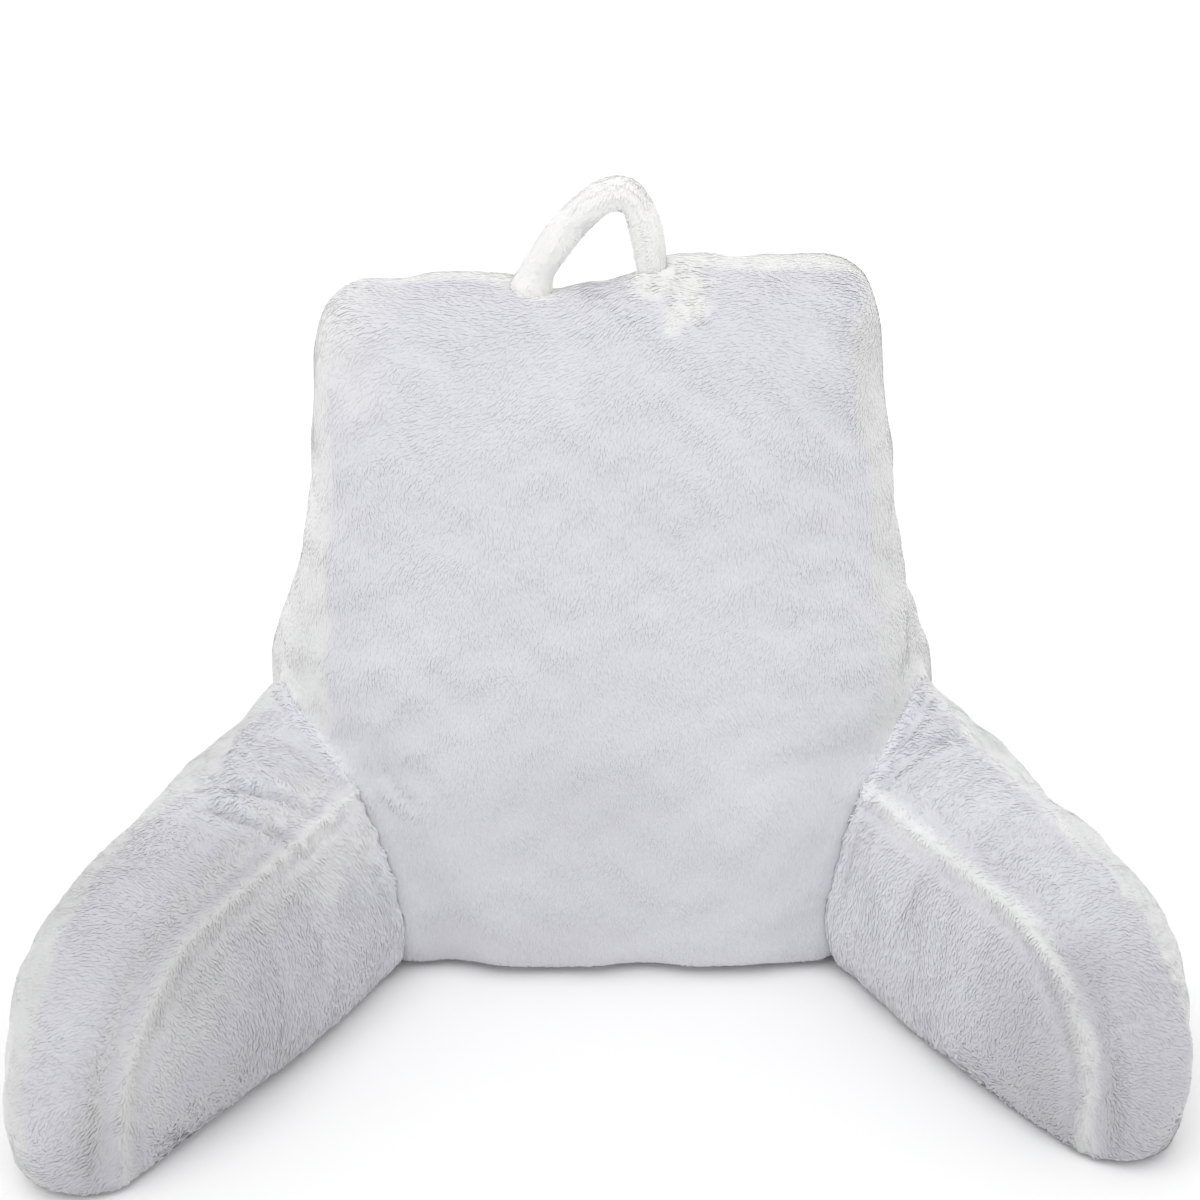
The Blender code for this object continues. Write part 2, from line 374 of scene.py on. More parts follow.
backCover = {
    "name": "back_cover",
    "node": "back_cushion",
    "seams": backSeams,
    "voxel": 0.0104,
    "cap": 0.010,
    "calming": 6,
    "ridges": [],
    "unevenness": 0.0014,
    "seed": 11,
    "swells": [  # places that are fuller, or where rise is negative slacker, than the solid
        {"line": [(-0.198, 0.165, 0.497), (-0.198, 0.250, 0.497)], "rise": 0.0110, "reach": 0.024},
        {"line": [(0.196, 0.165, 0.517), (0.196, 0.250, 0.517)], "rise": 0.0085, "reach": 0.024},
        {"line": [(-0.130, 0.235, 0.506), (-0.085, 0.235, 0.506)], "rise": 0.0090, "reach": 0.034},
        {"line": [(-0.212, 0.180, 0.460), (-0.220, 0.180, 0.370)], "rise": 0.0045, "reach": 0.045},
        {"line": [(0.055, 0.228, 0.524), (0.084, 0.228, 0.524)], "rise": 0.0100, "reach": 0.019},
        {"line": [(0.135, 0.240, 0.520), (0.175, 0.240, 0.521)], "rise": 0.0050, "reach": 0.030},
    ],
    "creases": [
        {"line": [(-0.172, 0.037, 0.170), (-0.160, 0.031, 0.161), (-0.148, 0.027, 0.152)],
         "depth": 0.0018, "width": 0.0040},
    ],
    "lumps": [  # matted places: height of the unevenness and how wide each lump is
        {"place": (0.053, 0.185, 0.528), "reach": 0.042, "height": 0.0016, "size": 0.018},
        {"place": (0.067, 0.147, 0.514), "reach": 0.020, "height": 0.0014, "size": 0.016},
    ],
}

armLeftCover = {
    "name": "arm_left_cover",
    "node": "arm_left",
    "seams": {side: turnedDown(line) for side, line in armLeftSeams.items()},
    "voxel": 0.0060,
    "cap": 0.008,
    "calming": 2,
    "ridges": [{"seam": "inner", "height": 0.0042, "width": 0.0060}],
    "unevenness": 0.0018,
    "seed": 23,
    "swells": [
        {"line": [(-0.304, 0.100, 0.188), (-0.345, 0.030, 0.176)], "rise": -0.0060, "reach": 0.028},
        {"line": [(-0.255, 0.150, 0.190), (-0.272, 0.140, 0.190)], "rise": 0.0050, "reach": 0.026},
        {"line": [(-0.420, -0.120, 0.100), (-0.420, -0.220, 0.080)], "rise": 0.0050, "reach": 0.045},
        {"line": [(-0.365, -0.020, 0.168), (-0.400, -0.120, 0.155)], "rise": -0.0020, "reach": 0.030},
        {"line": [(-0.290, -0.017, 0.185), (-0.262, -0.022, 0.176), (-0.238, -0.016, 0.164)],
         "rise": 0.0050, "reach": 0.010},
    ],
    "creases": [
        {"line": [(-0.284, -0.003, 0.186), (-0.263, -0.006, 0.181), (-0.233, -0.001, 0.169),
                  (-0.214, 0.006, 0.157)], "depth": 0.0080, "width": 0.0046},
        {"line": [(-0.300, -0.028, 0.183), (-0.277, -0.038, 0.179), (-0.255, -0.040, 0.170),
                  (-0.232, -0.031, 0.155)], "depth": 0.0080, "width": 0.0046},
        {"line": [(-0.268, -0.058, 0.172), (-0.253, -0.060, 0.162), (-0.243, -0.057, 0.155)],
         "depth": 0.0035, "width": 0.0040},
        {"line": [(-0.265, 0.029, 0.188), (-0.242, 0.012, 0.177), (-0.222, 0.009, 0.163)],
         "depth": 0.0022, "width": 0.0032},
        {"line": [(-0.278, 0.082, 0.194), (-0.286, 0.045, 0.191), (-0.287, 0.012, 0.187)],
         "depth": -0.0045, "width": 0.0055},
        {"line": [(-0.330, 0.010, 0.182), (-0.306, 0.004, 0.186), (-0.290, 0.001, 0.186)],
         "depth": 0.0030, "width": 0.0040},
    ],
    "lumps": [],
}

armRightCover = {
    "name": "arm_right_cover",
    "node": "arm_right",
    "seams": {side: turnedDown(line) for side, line in armRightSeams.items()},
    "voxel": 0.0060,
    "cap": 0.008,
    "calming": 2,
    "ridges": [
        {"seam": "inner", "height": 0.0042, "width": 0.0055},
        {"line": paleEdges["right"][:7], "height": 0.0030, "width": 0.0036},
    ],
    "unevenness": 0.0016,
    "seed": 37,
    "swells": [
        {"line": [(0.310, 0.112, 0.190), (0.352, 0.040, 0.176)], "rise": -0.0100, "reach": 0.031},
        {"line": [(0.366, 0.010, 0.168), (0.392, -0.060, 0.158)], "rise": -0.0040, "reach": 0.034},
        {"line": [(0.420, -0.130, 0.110), (0.420, -0.200, 0.090)], "rise": 0.0048, "reach": 0.048},
    ],
    "creases": [
        {"line": [(0.206, 0.052, 0.160), (0.218, 0.057, 0.172), (0.234, 0.068, 0.184),
                  (0.249, 0.094, 0.194), (0.260, 0.125, 0.199)], "depth": 0.0050, "width": 0.0036},
        {"line": [(0.211, 0.036, 0.156), (0.221, 0.043, 0.168), (0.237, 0.053, 0.181),
                  (0.257, 0.061, 0.190), (0.277, 0.066, 0.193)], "depth": 0.0062, "width": 0.0038},
        {"line": [(0.280, 0.026, 0.187), (0.300, 0.030, 0.189)], "depth": 0.0022, "width": 0.0034},
        {"line": [(0.278, 0.008, 0.183), (0.294, 0.012, 0.186)], "depth": 0.0020, "width": 0.0034},
        {"line": [(0.304, -0.143, 0.153), (0.316, -0.160, 0.148), (0.328, -0.180, 0.138),
                  (0.334, -0.192, 0.128)], "depth": 0.0030, "width": 0.0032},
    ],
    "lumps": [],
}


def snapLine(samples, mesh):
    # the samples moved onto the nearest part of a mesh
    tree = BVHTree.FromPolygons([vertex.co for vertex in mesh.vertices],
                                [polygon.vertices for polygon in mesh.polygons])
    return np.array([tree.find_nearest(Vector(sample))[0] for sample in samples])


def seamsOn(mesh, values):
    lines = {side: snapLine(sampleLine(line), mesh) for side, line in values["seams"].items()}
    lines["all"] = np.concatenate(list(lines.values()))
    return lines


def mergedSolid(node):
    solid = bmesh.new()
    solid.from_mesh(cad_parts[node].data)
    bmesh.ops.remove_doubles(solid, verts=solid.verts, dist=1e-5)
    solid.normal_update()
    return solid


def solidArrays(solid):
    points = np.array([vertex.co for vertex in solid.verts])
    normals = np.array([vertex.normal for vertex in solid.verts])
    return points, normals


def solidTree(node):
    solid = mergedSolid(node)
    tree = BVHTree.FromBMesh(solid)
    solid.free()
    return tree


def gapTo(trees, points):
    # distance from each point to the nearest neighbouring cushion
    gaps = [[tree.find_nearest(Vector(point))[3] for point in points] for tree in trees]
    return np.min(gaps, axis=0) if gaps else np.full(len(points), 1.0)


def shrunkPoints(solid, seams, neighbours):
    # the points of the solid's skin, pulled in from the tips of the pile to the cloth
    points, normals = solidArrays(solid)
    pressed = 1 - smoothStep(gapTo(neighbours, points), 0.002, cover["joinReach"])
    onSeam = 1 - smoothStep(distanceTo(seams, points)[0], 0.002, 0.012)
    depth = cover["pileDepth"] * (1 - onSeam) + cover["seamDepth"] * onSeam
    depth = (depth + cover["slack"] * (1 - onSeam)) * (1 - pressed) + cover["joinDepth"] * pressed
    moved = points - normals * depth[:, None]
    moved[:, 2] = np.maximum(moved[:, 2], cover["footHeight"])
    moved[points[:, 2] < 1e-4, 2] = cover["footHeight"]
    return moved


def newPiece(name, mesh):
    piece = bpy.data.objects.new(name, mesh)
    bpy.context.scene.collection.objects.link(piece)
    return piece


def takeMesh(piece):
    # replaces the piece's mesh with what its modifiers make of it, and removes them
    result = piece.evaluated_get(bpy.context.evaluated_depsgraph_get())
    mesh = bpy.data.meshes.new_from_object(result)
    piece.modifiers.clear()
    piece.data = mesh
    return mesh


def pieceFrom(solid, moved, values):
    # a piece with an even mesh, from a solid whose points are moved
    for vertex, place in zip(solid.verts, moved):
        vertex.co = place
    mesh = bpy.data.meshes.new(values["name"])
    solid.to_mesh(mesh)
    solid.free()
    piece = newPiece(values["name"], mesh)
    remesh = piece.modifiers.new("even", "REMESH")
    remesh.mode = "VOXEL"
    remesh.voxel_size = values["voxel"]
    takeMesh(piece)
    return piece


def fillCushion(piece, pinned, values):
    # the filling presses the cloth out between the seams, which stay where they are sewn
    start, _ = meshArrays(piece.data)
    sewn = piece.vertex_groups.new(name="sewn")
    sewn.add([int(number) for number in np.flatnonzero(pinned)], 1.0, "REPLACE")
    cloth = piece.modifiers.new("filling", "CLOTH")
    cloth.settings.quality = 5
    cloth.settings.vertex_group_mass = "sewn"
    cloth.settings.use_pressure = True
    cloth.settings.uniform_pressure_force = cover["pressure"]
    cloth.settings.shrink_min = -0.02
    cloth.settings.effector_weights.gravity = 0.0
    cloth.collision_settings.use_collision = False
    scene = bpy.context.scene
    for step in range(1, cover["frames"] + 1):
        scene.frame_set(step)
    mesh = takeMesh(piece)
    piece.vertex_groups.clear()
    end, _ = meshArrays(mesh)
    move = end - start
    length = np.linalg.norm(move, axis=1, keepdims=True)
    capped = move * np.minimum(1.0, values["cap"] / np.maximum(length, 1e-9))
    setPoints(mesh, start + capped)
    scene.frame_set(1)


def calmCloth(piece, times):
    # takes out the small ripples that the filling leaves
    calm = piece.modifiers.new("calm", "SMOOTH")
    calm.factor = 0.5
    calm.iterations = times
    takeMesh(piece)


def smoothOnce(piece):
    subdivision = piece.modifiers.new("smooth", "SUBSURF")
    subdivision.levels = subdivision.render_levels = 1
    takeMesh(piece)


def sculptRidges(points, normals, seams, values):
    # each ridge is a soft welt between two shallow troughs
    for ridge in values["ridges"]:
        line = seams[ridge["seam"]] if "seam" in ridge else sampleLine(ridge["line"])
        distance, _ = distanceTo(line, points)
        width = ridge["width"]
        welt = np.exp(-(distance / width) ** 2) - 0.35 * np.exp(-((distance - 2.4 * width) / width) ** 2)
        points = points + normals * (ridge["height"] * welt)[:, None]
    return points


def sculptSwells(points, normals, values):
    for swell in values["swells"]:
        distance, _ = distanceTo(sampleLine(swell["line"]), points)
        rise = swell["rise"] * np.exp(-(distance / swell["reach"]) ** 2)
        points = points + normals * rise[:, None]
    return points


def sculptLumps(points, normals, values):
    for number, lump in enumerate(values["lumps"]):
        distance = np.linalg.norm(points - lump["place"], axis=1)
        near = 1 - smoothStep(distance, 0.6 * lump["reach"], lump["reach"])
        rise = lump["height"] * near * (0.6 + wander(points, lump["size"], values["seed"] + 20 + number))
        points = points + normals * rise[:, None]
    return points


def eachCrease(points, values):
    # for each crease: its values, the distance to it, and how much of its depth is left near its ends
    for crease in values["creases"]:
        line = sampleLine(crease["line"])
        distance, nearest = distanceTo(line, points)
        yield crease, distance, 0.25 + 0.75 * np.sin(np.pi * (nearest + 0.5) / len(line)) ** 0.5


def creasePush(points, values):
    # how far each point moves along its normal: a furrow between two soft rolls
    total = np.zeros(len(points))
    for crease, distance, ends in eachCrease(points, values):
        width = crease["width"]
        furrow = np.exp(-(distance / width) ** 2)
        rolls = 0.40 * np.exp(-((distance - 2.3 * width) / (1.3 * width)) ** 2)
        total -= crease["depth"] * ends * (furrow - rolls)
    return total


def creaseShade(points, values):
    # how much each point lies inside a crease, which sets the painted shade in the creases
    total = np.zeros(len(points))
    for crease, distance, ends in eachCrease(points, values):
        if crease["depth"] > 0:
            inside = np.exp(-(distance / (0.65 * crease["width"])) ** 2)
            total = np.maximum(total, inside * ends * min(1.0, crease["depth"] / 0.006))
    return total


def stuffCover(values, neighbours):
    solid = mergedSolid(values["node"])
    trees = [solidTree(node) for node in neighbours]
    moved = shrunkPoints(solid, seamsOn(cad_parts[values["node"]].data, values)["all"], trees)
    piece = pieceFrom(solid, moved, values)
    points, _ = meshArrays(piece.data)
    seams = seamsOn(piece.data, values)["all"]
    onFloor = points[:, 2] < cover["footHeight"] + values["voxel"]
    pinned = onFloor | (distanceTo(seams, points)[0] < 0.006) | (gapTo(trees, points) < 0.004)
    fillCushion(piece, pinned, values)
    calmCloth(piece, values["calming"])
    smoothOnce(piece)
    points, normals = meshArrays(piece.data)
    seams = seamsOn(piece.data, values)
    free = smoothStep(gapTo(trees, points), 0.001, 0.010) * smoothStep(points[:, 2], 0.004, 0.030)
    sculpted = sculptRidges(points, normals, seams, values)
    sculpted = sculpted + normals * creasePush(points, values)[:, None]
    sculpted = sculptLumps(sculpted, normals, values)
    sculpted = sculptSwells(sculpted, normals, values)
    uneven = wander(points, 0.11, values["seed"]) + 0.4 * wander(points, 0.04, values["seed"] + 1)
    sculpted += normals * (values["unevenness"] * uneven)[:, None]
    creased = creaseShade(points, values)
    points = points + (sculpted - points) * free[:, None]
    closeness = np.exp(-(gapTo(trees, points) / cover["snugReach"]) ** 2)
    closeness *= smoothStep(points[:, 2], 0.01, 0.03)
    snug = cover["snug"] + cover["snugAbove"] * smoothStep(points[:, 2], 0.135, 0.165)
    points = points + normals * (closeness * snug)[:, None]
    points[:, 2] = np.maximum(points[:, 2], cover["footHeight"] * 0.6)
    setPoints(piece.data, points)
    piece.data.shade_smooth()
    print(values["name"], "stuffed:", len(piece.data.polygons) * 2, "triangles")
    return {"piece": piece, "seams": seams, "trees": trees, "creased": creased}


# The handle's cover

handleCover = {
    "name": "handle_cover",
    "node": "handle",
    "depth": 0.0006,
    "rootReach": 0.0120,  # its ends go down this far between the tips of the back's pile
    "rootPinch": 0.72,  # and are this much narrower there
    "voxel": 0.0030,
    "unevenness": 0.0008,
    "seed": 51,
    "leanLeft": 0.0085,  # the stuffing pushes the long leg out to the left
    "riseAtTop": 0.0060,
    "thinAtTop": 0.0030,
    "wideRoot": 0.0045,
}


def stuffHandle(values):
    back = solidTree("back_cushion")
    solid = mergedSolid(values["node"])
    points, normals = solidArrays(solid)
    atRoot = gapTo([back], points) < 0.002
    moved = points - normals * (values["depth"] * ~atRoot)[:, None]
    middle = points[atRoot].mean(axis=0)
    for side in (points[:, 0] < middle[0], points[:, 0] >= middle[0]):
        root = atRoot & side
        centre = points[root].mean(axis=0)
        moved[root] = centre + (points[root] - centre) * values["rootPinch"]
    moved[atRoot, 2] -= values["rootReach"]
    piece = pieceFrom(solid, moved, values)
    smoothOnce(piece)
    points, normals = meshArrays(piece.data)
    low, high = points.min(axis=0), points.max(axis=0)
    up = smoothStep(points[:, 2], low[2] + 0.25 * (high[2] - low[2]), high[2])
    leftward = 1 - smoothStep(points[:, 0], low[0] + 0.015, low[0] + 0.75 * (high[0] - low[0]))
    atRoot = (1 - smoothStep(points[:, 2], low[2] + 0.008, low[2] + 0.030)) * leftward
    grow = values["unevenness"] * wander(points, 0.045, values["seed"])
    grow += values["wideRoot"] * atRoot - values["thinAtTop"] * up
    moved = points + normals * grow[:, None] * np.array([1.0, 1.0, 0.3])
    moved[:, 0] -= values["leanLeft"] * leftward
    moved[:, 2] += values["riseAtTop"] * up
    setPoints(piece.data, moved)
    piece.data.shade_smooth()
    print(values["name"], "stuffed:", len(piece.data.polygons) * 2, "triangles")
    return {"piece": piece, "trees": [back]}


# Pile: tufts scattered, combed and bent over by Geometry Nodes

pileInputs = {  # name: socket kind
    "Spacing": "NodeSocketFloat",
    "Most Per Square Metre": "NodeSocketFloat",
    "Length": "NodeSocketFloat",
    "Width": "NodeSocketFloat",
    "Bow": "NodeSocketFloat",
    "Clump Size": "NodeSocketFloat",
    "Clump Pull": "NodeSocketFloat",
    "Stray": "NodeSocketFloat",
    "Lowest": "NodeSocketFloat",
    "Seed": "NodeSocketInt",
    "Cloth": "NodeSocketMaterial",
}


def pileTree():
    group = bpy.data.node_groups.new("plush_pile", "GeometryNodeTree")
    group.interface.new_socket("Surface", in_out="INPUT", socket_type="NodeSocketGeometry")
    for name, kind in pileInputs.items():
        group.interface.new_socket(name, in_out="INPUT", socket_type=kind)
    group.interface.new_socket("Pile", in_out="OUTPUT", socket_type="NodeSocketGeometry")
    tree = Tree(group)
    start = tree.add("NodeGroupInput")
    given = {name: start.other(name) for name in pileInputs}

    def field(name, kind="FLOAT"):
        output = "Attribute"
        return tree.add("GeometryNodeInputNamedAttribute", {"data_type": kind}, {"Name": name}, output)

    def store(geometry, name, value, kind="FLOAT", domain="POINT"):
        settings = {"data_type": kind, "domain": domain}
        inputs = {"Geometry": geometry, "Name": name, "Value": value}
        return tree.add("GeometryNodeStoreNamedAttribute", settings, inputs)

    def chance(low, high, shift):
        settings = {"data_type": "FLOAT"}
        return tree.add("FunctionNodeRandomValue", settings,
                        {2: low, 3: high, "Seed": given["Seed"] + shift}, 1)

    # one tuft: a narrow leaf of four triangles, of unit length along Z, facing +Y
    leaf = tree.add("GeometryNodeMeshGrid", {}, {
        "Size X": 1.0, "Size Y": 1.0, "Vertices X": 2, "Vertices Y": 3})
    place = tree.add("ShaderNodeSeparateXYZ", {}, {0: tree.add("GeometryNodeInputPosition")})
    along = place.other("Y") + 0.5
    across = place.other("X") * -2.0
    leaf = store(leaf, "along", along)
    leaf = store(leaf, "across", across)
    along, across = field("along"), field("across")
    narrow = 0.80 + along * 1.30 - along * along * 1.80
    bow = along * (1.0 - along) * 4.0 - along * along * 0.9
    shape = tree.add("ShaderNodeCombineXYZ", {}, {
        "X": across * 0.5 * narrow, "Y": bow * given["Bow"], "Z": along})
    leaf = tree.add("GeometryNodeSetPosition", {}, {"Geometry": leaf, "Position": shape})

    # where the tufts stand
    spots = tree.add("GeometryNodeDistributePointsOnFaces", {"distribute_method": "POISSON"}, {
        "Mesh": start.other("Surface"), "Distance Min": given["Spacing"],
        "Density Max": given["Most Per Square Metre"], "Density Factor": field("cover"),
        "Seed": given["Seed"]})
    count = tree.add("GeometryNodeAttributeDomainSize", {"component": "POINTCLOUD"},
                     {"Geometry": spots}, "Point Count")

    # which way each one leans
    surface = tree.unit(field("surface", "FLOAT_VECTOR"))
    position = tree.add("GeometryNodeInputPosition")
    tousle = field("tousle")
    swirl = tree.noise(position, given["Clump Size"], 1.0, "Color") - (0.5, 0.5, 0.5)
    stray = tree.add("FunctionNodeRandomValue", {"data_type": "FLOAT_VECTOR"}, {
        0: (-1.0, -1.0, -1.0), 1: (1.0, 1.0, 1.0), "Seed": given["Seed"] + 1.0}, 0)
    lean = field("comb", "FLOAT_VECTOR") + swirl * (given["Clump Pull"] * (1.0 + tousle))
    lean = lean + stray * (given["Stray"] * (1.0 + tousle))
    lean = tree.unit(lean - surface * tree.dot(lean, surface))
    lift = field("lift") * chance(0.5, 1.5, 2.0)
    axis = lean * tree.maths("COSINE", lift) + surface * tree.maths("SINE", lift)
    turn = tree.add("FunctionNodeAlignRotationToVector", {"axis": "Z"}, {"Vector": axis})
    turn = tree.add("FunctionNodeAlignRotationToVector", {"axis": "Y", "pivot_axis": "Z"},
                    {"Rotation": turn, "Vector": surface})
    side = tree.add("FunctionNodeRotateVector", {}, {"Vector": (1.0, 0.0, 0.0), "Rotation": turn})
    length = given["Length"] * field("long") * chance(0.78, 1.18, 3.0)
    width = given["Width"] * chance(0.75, 1.25, 4.0)
    size = tree.add("ShaderNodeCombineXYZ", {}, {"X": width, "Y": length, "Z": length})

    points = store(spots, "side", side, "FLOAT_VECTOR")
    points = store(points, "chance", chance(0.0, 1.0, 5.0))
    points = store(points, "number", tree.add("GeometryNodeInputIndex"))
    tufts = tree.add("GeometryNodeInstanceOnPoints", {}, {
        "Points": points, "Instance": leaf, "Rotation": turn, "Scale": size})
    tufts = tree.add("GeometryNodeRealizeInstances", {}, {"Geometry": tufts})

    # tips never go through what the pillow stands on
    place = tree.add("ShaderNodeSeparateXYZ", {}, {0: tree.add("GeometryNodeInputPosition")})
    height = tree.maths("MAXIMUM", place.other("Z"), given["Lowest"])
    place = tree.add("ShaderNodeCombineXYZ", {}, {
        "X": place.other("X"), "Y": place.other("Y"), "Z": height})
    tufts = tree.add("GeometryNodeSetPosition", {}, {"Geometry": tufts, "Position": place})

    # a rounded normal, so that a flat leaf shades as a soft tuft
    sideways = field("side", "FLOAT_VECTOR") * (field("across") * 0.10)
    soft = tree.unit(field("surface", "FLOAT_VECTOR")) + sideways
    tufts = store(tufts, "soft", tree.unit(soft), "FLOAT_VECTOR")

    # every tuft has its own cell of the OFBake map
    columns = tree.maths("CEIL", tree.maths("SQRT", count))
    number = field("number")
    column = tree.maths("MODULO", number + 0.25, columns) - 0.25
    row = tree.maths("FLOOR", (number + 0.25) / columns)
    cell = tree.add("ShaderNodeCombineXYZ", {}, {
        "X": (column + 0.5 + field("across") * 0.42) / columns,
        "Y": (row + 0.08 + field("along") * 0.84) / columns, "Z": 0.0})
    tufts = store(tufts, "OFBake", cell, "FLOAT2", "CORNER")
    tufts = tree.add("GeometryNodeSetShadeSmooth", {}, {"Geometry": tufts, "Shade Smooth": True})
    tufts = tree.add("GeometryNodeSetMaterial", {}, {"Geometry": tufts, "Material": given["Cloth"]})
    end = group.nodes.new("NodeGroupOutput")
    tree.feed(end.inputs["Pile"], tufts)
    return group


# fields that only the growing needs, so the finished pile doesn't keep them
workFields = ("across", "side", "number", "surface", "comb", "lift", "cover", "tousle", "long")


def growPile(name, surface, fields, values, look):
    # grows one piece of pile on a copy of a cover
    mesh = surface.data.copy()
    for field, amounts in fields.items():
        setField(mesh, field, amounts)
    piece = newPiece(name, mesh)
    modifier = piece.modifiers.new("pile", "NODES")
    modifier.node_group = plushPile
    settings = {
        "Spacing": values["spacing"],
        "Most Per Square Metre": 2.2 / values["spacing"] ** 2,
        "Length": values["length"],
        "Width": values["width"],
        "Bow": values["bow"],
        "Clump Size": values["clumpSize"],
        "Clump Pull": values["clumpPull"],
        "Stray": values["stray"],
        "Lowest": 0.0003,
        "Seed": values["seed"],
        "Cloth": look,
    }
    for item in plushPile.interface.items_tree:
        if item.in_out == "INPUT" and item.name in settings:
            modifier[item.identifier] = settings[item.name]
    mesh = takeMesh(piece)
    for field in workFields:
        if field in mesh.attributes:
            mesh.attributes.remove(mesh.attributes[field])
    print(name, "grown:", len(mesh.polygons) * 2, "triangles")
    return piece


# Looks

plushLook = {
    # the roots are painted paler than the tips: painted light that lifts the shade deep in the pile
    "root": (0.655, 0.652, 0.700, 1.0),
    "tip": (0.622, 0.619, 0.668, 1.0),
    "paleRoot": (0.735, 0.738, 0.730, 1.0),
    "paleTip": (0.712, 0.715, 0.707, 1.0),
    "creamRoot": (0.880, 0.876, 0.860, 1.0),
    "creamTip": (0.905, 0.900, 0.885, 1.0),
    "roughness": 0.92,
    "sheen": 0.60,
    "softness": 0.94,
}


def plushColour(look, values, up):
    # up runs from the roots of the pile to its tips
    pale, cream, toneAndPaintedLight = look.attribute("pale"), look.attribute("cream"), look.attribute("toneAndPaintedLight")
    lavender = look.mix(up, values["root"], values["tip"])
    neutral = look.mix(up, values["paleRoot"], values["paleTip"])
    white = look.mix(up, values["creamRoot"], values["creamTip"])
    colour = look.mix(cream, look.mix(pale, lavender, neutral), white)
    # the colour is multiplied by a random tone and by painted light and painted shade
    tone = look.add("ShaderNodeCombineXYZ", {}, {"X": toneAndPaintedLight, "Y": toneAndPaintedLight, "Z": toneAndPaintedLight})
    return look.mix(1.0, colour, tone, "MULTIPLY")


def pileLook(name, values):
    look = Look(name, Roughness=values["roughness"], Sheen_Weight=values["sheen"],
                Sheen_Roughness=0.6, Specular_IOR_Level=0.1)
    up = look.between(look.attribute("along"), 0.0, 0.75)
    tone = 0.975 + look.attribute("chance") * 0.04
    tone = look.add("ShaderNodeCombineXYZ", {}, {"X": tone, "Y": tone, "Z": tone})
    look.paint("Base Color", look.mix(1.0, plushColour(look, values, up), tone, "MULTIPLY"))
    real = look.add("ShaderNodeNewGeometry", {}, {}, "Normal")
    outward = 1.0 - real.other("Backfacing") * 2.0  # a tuft's inner side faces the other way
    soft = look.attribute("soft", "Vector") * outward
    normal = look.unit(soft * values["softness"] + real * (1.0 - values["softness"]))
    look.paint("Normal", normal)
    return look.material


def coverLook(name, values):
    look = Look(name, Roughness=values["roughness"], Sheen_Weight=values["sheen"],
                Sheen_Roughness=0.6, Specular_IOR_Level=0.1)
    place = look.add("ShaderNodeTexCoord", {}, {}, "Object")
    mottle = look.noise(place, 0.0035, 2.0)
    look.paint("Base Color", plushColour(look, values, mottle))
    bump = look.add("ShaderNodeBump", {}, {"Strength": 0.4, "Distance": 0.0010, "Height": mottle})
    look.paint("Normal", bump)
    return look.material


# How the pile lies on each piece

backPile = {
    "spacing": 0.00164,
    "length": 0.0066,
    "width": 0.0022,
    "bow": 0.02,
    "clumpSize": 0.009,
    "clumpPull": 1.3,
    "stray": 0.25,
    "seed": 5,
    "lift": 0.062,  # radians above the cloth
    "tousledSpots": [  # place, reach
        ((0.053, 0.188, 0.529), 0.040),
        ((0.067, 0.147, 0.514), 0.019),
    ],
    "paintedLightSpots": [  # x and z of the middle, reach, how much paler it is painted, darker below zero: painted light and painted shade in soft spots
        ((0.000, 0.150), 0.075, -0.08),
        ((0.125, 0.150), 0.050, 0.04),
        ((0.040, 0.015), 0.050, 0.06),
        ((0.120, 0.020), 0.050, 0.07),
    ],
    "rim": 0.52,  # how far the cloth has turned to the side where the pale rim starts; the pale rim is partly a neutral cloth colour and partly painted rim light
}

armPile = dict(backPile, spacing=0.00180, length=0.0050, width=0.0021, clumpSize=0.007, clumpPull=1.9,
               stray=0.36, lift=0.10)
handlePile = dict(backPile, spacing=0.0013, length=0.0045, width=0.0020, clumpSize=0.008, clumpPull=0.8,
                  stray=0.25, seed=13, lift=0.06)


backToneAndPaintedLight = {  # how much darker or paler the back's pile shows: low, lobe, side, rightSide and crease are painted shade lower down, on the lower-left lobe, on the sides and in the creases; high, top, byHandle and turnedAway are painted light higher up, along the top, round the handle's roots and where the cloth turns away from the front; drift is a random drift of tone
    "low": -0.075,
    "high": 0.02,
    "drift": 0.012,
    "lobeShadow": -0.14,
    "side": -0.01,
    "rightSide": -0.07,
    "crease": -0.45,
    "top": 0.08,
    "byHandle": 0.10,
    "turnedAway": 0.10,
}


def driftOf(points, size, seed):
    return np.stack([wander(points, size, seed + k) for k in range(3)], axis=1)


def joinPaintedLight(stuffed, points):
    # painted light along the joins above the arms, where pile meets pile, hides the shade of the join
    near = 1 - smoothStep(gapTo(stuffed["trees"], points), 0.002, 0.012)
    return 0.16 * near * smoothStep(points[:, 2], 0.145, 0.180)


